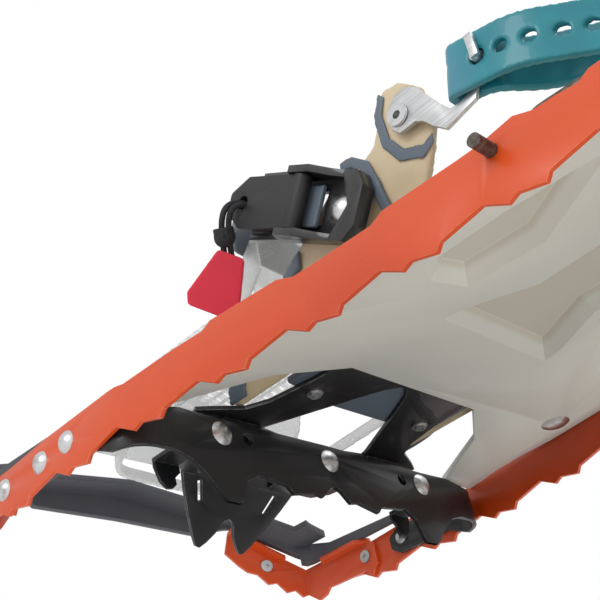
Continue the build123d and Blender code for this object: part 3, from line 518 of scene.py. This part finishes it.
# Grain of the new surface in metres, rounds of smoothing, and the finish
softLooks = {
    "wing_left": (0.0009, 6, "sand_tpu"),
    "wing_right": (0.0009, 6, "sand_tpu"),
    "wing_ribs": (0.0006, 7, "slate_tpu"),
    "harness_sole": (0.0009, 3, "slate_tpu"),
    "heel_strap": (0.0007, 4, "teal_tpu"),
    "ladder_strap": (0.0006, 3, "slate_tpu"),
    "toe_hoop": (0.0006, 3, "clear_tpu"),
    "forefoot_wrap": (0.0008, 4, "clearWrap"),
    "lanyard_knot": (0.00045, 4, "cord"),
    "pull_tab": (0.0004, 3, "pull_tab_rubber"),
    "lifter_sleeve": (0.0008, 3, "bumper_plastic"),
}


def softened(node):
    # Moulded rubber: its edges rounded all over
    grain, rounds, main = softLooks[node]
    piece = copyOf(node)
    melt = piece.modifiers.new("melt", "REMESH")
    melt.mode = "VOXEL"
    melt.voxel_size = grain
    melt.use_smooth_shade = True
    ease = piece.modifiers.new("ease", "SMOOTH")
    ease.factor = 0.5
    ease.iterations = rounds
    settle(piece)
    piece.data.materials.clear()
    piece.data.materials.append(finishes[main])
    for face in piece.data.polygons:
        face.use_smooth = True
    handOver(piece, node)
    return piece


softPieces = {node: softened(node) for node in softLooks}
print("soft mouldings done")


# Places in metres. The two strands run side by side: apart is half their spacing, and side its direction
lanyardLook = {
    "route": [(-0.0708, 0.0940, 0.0900), (-0.0805, 0.0940, 0.0900), (-0.0810, 0.1015, 0.0849),
              (-0.0746, 0.1072, 0.0737)],
    "pointsAtHole": 2,
    "holeSide": (0.0, 0.61, 0.79), "holeApart": 0.00125,
    "tabSide": (-0.758, 0.466, 0.456), "tabApart": 0.0014,
    "radius": 0.0011, "length": 0.0315,
}


def lanyardStrand(node, way):
    look = lanyardLook
    curve = bpy.data.curves.new(pieceName(node), "CURVE")
    curve.dimensions = "3D"
    curve.bevel_depth = look["radius"]
    curve.bevel_resolution = 5
    curve.resolution_u = 16
    curve.use_fill_caps = True
    line = curve.splines.new("NURBS")
    line.points.add(len(look["route"]) - 1)
    for step, spot in enumerate(look["route"]):
        end = "hole" if step < look["pointsAtHole"] else "tab"
        beside = Vector(look[end + "Side"]) * look[end + "Apart"] * way
        line.points[step].co = (*(Vector(spot) + beside), 1)
    line.order_u = 3
    line.use_endpoint_u = True
    piece = bpy.data.objects.new(pieceName(node), curve)
    bpy.context.scene.collection.objects.link(piece)
    curve.materials.append(finishes["cord"])
    handOver(piece, node)


lanyardStrand("lanyard_upper", 1)
lanyardStrand("lanyard_lower", -1)
print("lanyard done")

for node, cad in cadNodes.items():
    if not cad.hide_render:
        cad.data.materials.clear()
        cad.data.materials.append(finishes[recordSlots[node]])
print("remaining hard nodes finished")


studio = {"floorHalf": 3.0, "floorTint": (0.86, 0.86, 0.85), "floorRough": 0.85, "sky": (1.0, 1.0, 1.0),
          "skyStrength": 0.85, "backdropStrength": 1.0, "centre": (0.0, 0.0, 0.03)}


def makeFloor():
    # A floor that is seen from above only, so that the view from below goes through it
    s = Shader("studioFloor", Roughness=studio["floorRough"])
    s.set("Base Color", studio["floorTint"])
    both = s.node("ShaderNodeMixShader", {}, {
        0: s.node("ShaderNodeNewGeometry")["Backfacing"],
        1: Value(s, s.surface.outputs[0]),
        2: s.node("ShaderNodeBsdfTransparent")[0]})
    s.plug(s.there("OUTPUT_MATERIAL").inputs["Surface"], both[0])
    half = studio["floorHalf"]
    mesh = bpy.data.meshes.new("studioFloor")
    corners = [(-half, -half, 0), (half, -half, 0), (half, half, 0), (-half, half, 0)]
    mesh.from_pydata(corners, [], [(0, 1, 2, 3)])
    mesh.materials.append(s.material)
    floor = bpy.data.objects.new("studioFloor", mesh)
    floor.visible_shadow = False
    bpy.context.scene.collection.objects.link(floor)


def makeWorld():
    # The backdrop that is seen is brighter than the light that it gives
    world = bpy.data.worlds.new("studioWorld")
    world.use_nodes = True
    nodes = Nodes(world.node_tree)
    back = nodes.there("BACKGROUND")
    nodes.plug(back.inputs["Color"], studio["sky"])
    nodes.plug(back.inputs["Strength"], studio["skyStrength"])
    both = nodes.node("ShaderNodeMixShader", {}, {
        0: nodes.node("ShaderNodeLightPath")["Is Camera Ray"],
        1: Value(nodes, back.outputs[0]),
        2: nodes.node("ShaderNodeBackground", {}, {"Color": studio["sky"],
                                                   "Strength": studio["backdropStrength"]})[0]})
    nodes.plug(nodes.there("OUTPUT_WORLD").inputs["Surface"], both[0])
    bpy.context.scene.world = world


# Metres right of the object's middle, above it and towards the camera, as the camera sees it
lampLooks = {
    "keyLight": {"across": -0.9, "up": 0.9, "toward": 0.6, "size": 0.7, "power": 6.0},
    "underLight": {"across": 0.6, "up": -0.6, "toward": 1.0, "size": 1.0, "power": 7.0},
    "backLight": {"across": 0.3, "up": 1.1, "toward": -0.8, "size": 0.8, "power": 5.0},
}


def makeLamp(name):
    # A round area light, aimed at the object
    look = lampLooks[name]
    way = Vector(cameraLook["right"]) * look["across"] - Vector(cameraLook["down"]) * look["up"]
    way = way - Vector(cameraLook["ahead"]) * look["toward"]
    data = bpy.data.lights.new(name, "AREA")
    data.shape = "DISK"
    data.size = look["size"]
    data.energy = look["power"]
    lamp = bpy.data.objects.new(name, data)
    lamp.location = Vector(studio["centre"]) + way
    lamp.rotation_mode = "QUATERNION"
    lamp.rotation_quaternion = (-way).to_track_quat("-Z", "Y")
    bpy.context.scene.collection.objects.link(lamp)


makeFloor()
makeWorld()
bpy.context.scene.view_settings.view_transform = "Standard"
for name in lampLooks:
    makeLamp(name)
print("studio done")
